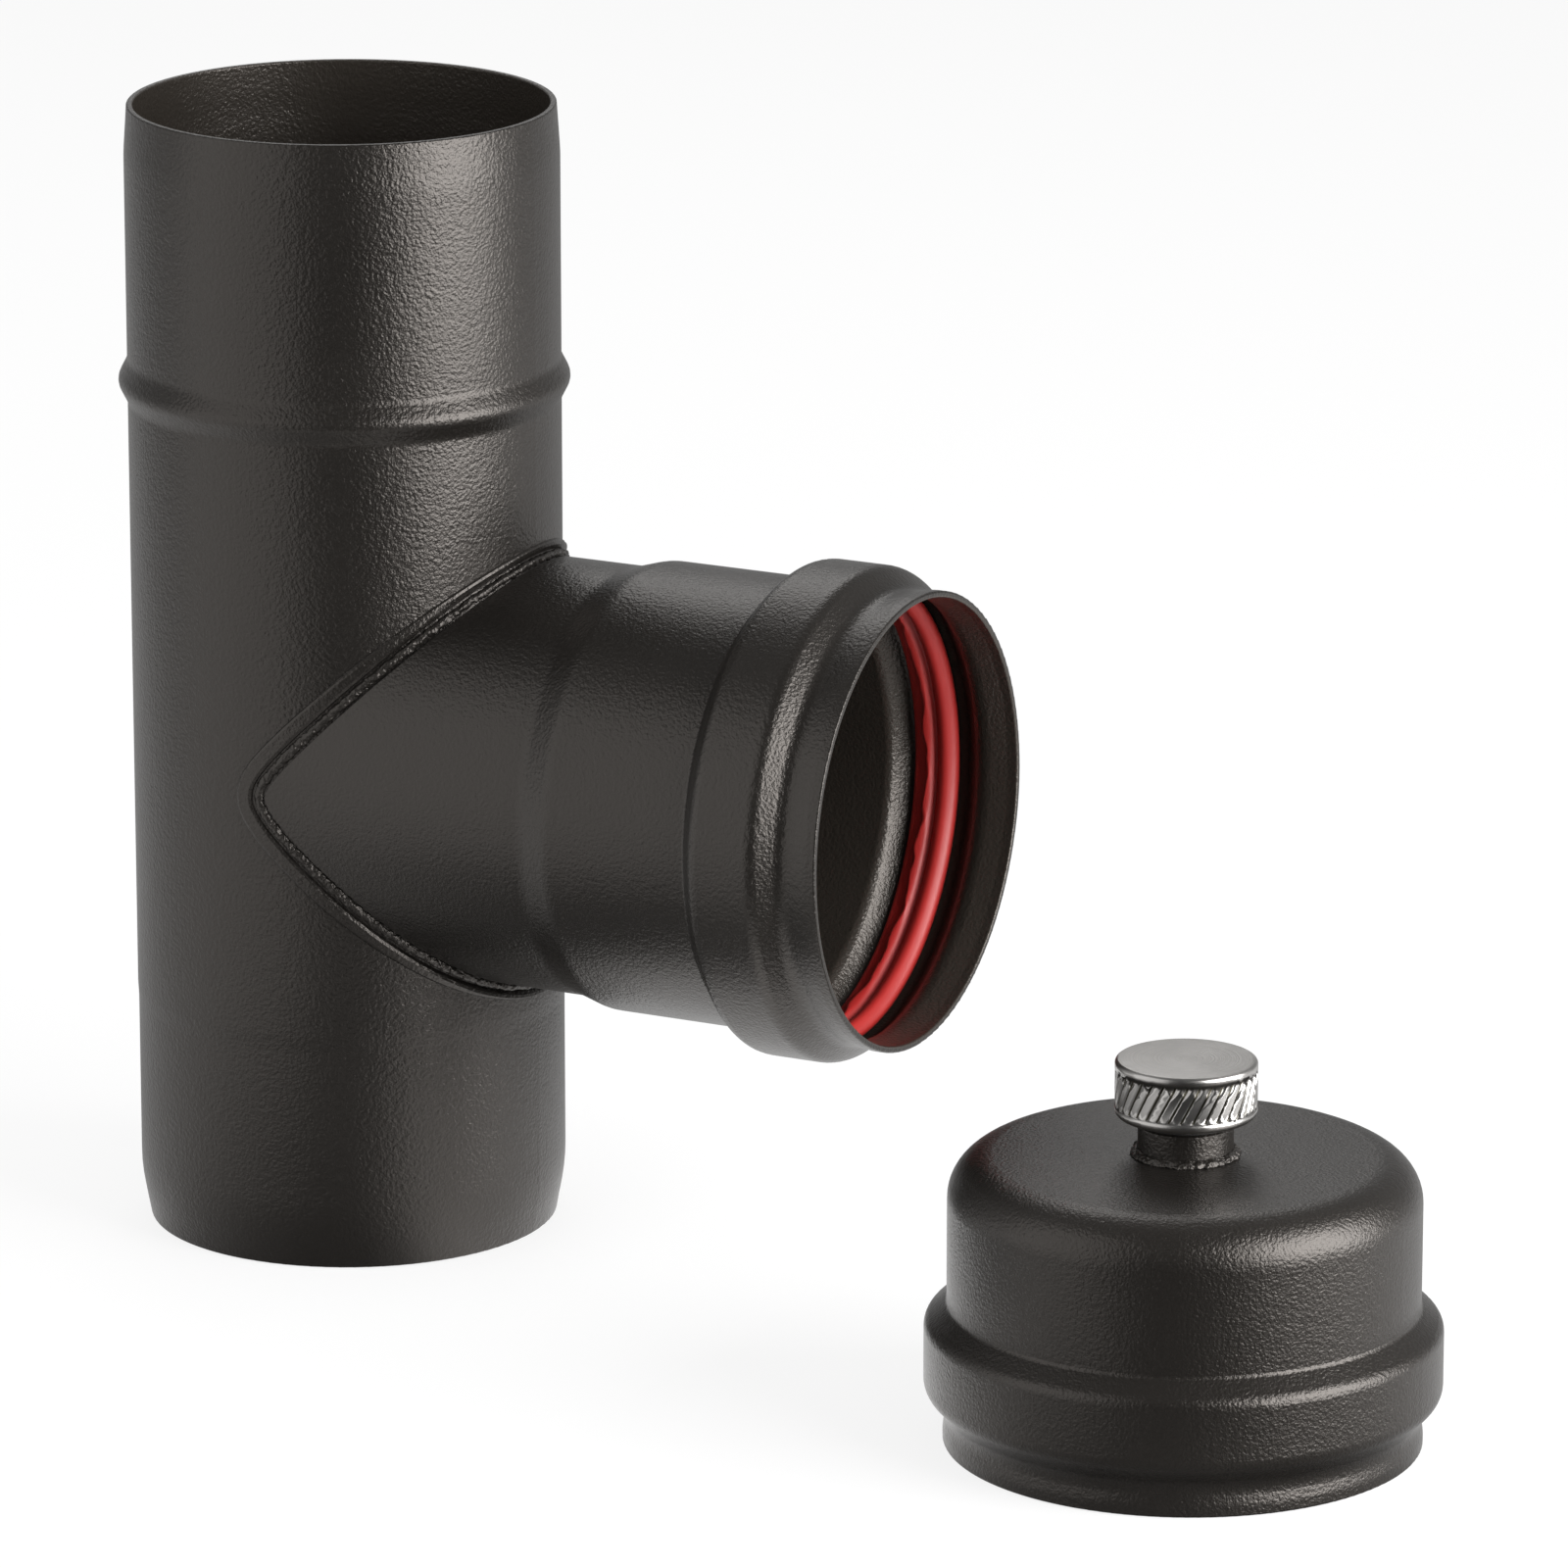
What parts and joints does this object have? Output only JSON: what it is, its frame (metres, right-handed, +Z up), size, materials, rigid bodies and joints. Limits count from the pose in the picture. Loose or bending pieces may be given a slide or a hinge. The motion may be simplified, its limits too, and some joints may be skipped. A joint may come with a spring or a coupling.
{
  "type": "stove pipe tee",
  "caption": "Enamelled stove pipe tee: a straight tube with a sealed side socket, and its loose end cap with a knurled drain plug.",
  "frame": {"origin": "centre of the main tube's lower rim, where the tee stands", "axes": "+Z up along the main tube, +X along the branch towards its mouth"},
  "size_m": [0.2822, 0.1412, 0.212],
  "materials": {
    "enamelled_steel": "satin black enamel with a fine grain",
    "enamelled_weld": "satin black enamel over a rough weld bead",
    "silicone": "smooth red silicone rubber",
    "turned_aluminium": "turned and knurled, bright",
    "washer_rubber": "matt black rubber"
  },
  "bodies": {
    "tee_and_cap": {"main_tube": "enamelled_steel", "branch_weld": "enamelled_weld", "branch_socket": "enamelled_steel", "branch_gasket": "silicone", "cap_shell": "enamelled_steel", "cap_gasket": "silicone", "drain_spigot": "enamelled_steel", "spigot_weld": "enamelled_weld"},
    "lifting_washer": {"plug_washer": "washer_rubber"},
    "plug": {"drain_plug": "turned_aluminium"}
  },
  "joints": [
    {"name": "drain_plug_lift", "type": "slide", "parent": "tee_and_cap", "child": "lifting_washer", "axis": [0, 0, 1], "range_m": [0, 0.006]},
    {"name": "drain_plug_turn", "type": "hinge", "parent": "lifting_washer", "child": "plug", "pos_m": [0.195, -0.05, 0.0594], "axis": [0, 0, 1], "range_deg": [0, 1440]}
  ],
  "couplings": [
    {"joint": "drain_plug_lift", "follows": "drain_plug_turn", "m_per_rad": 0.00023873}
  ]
}
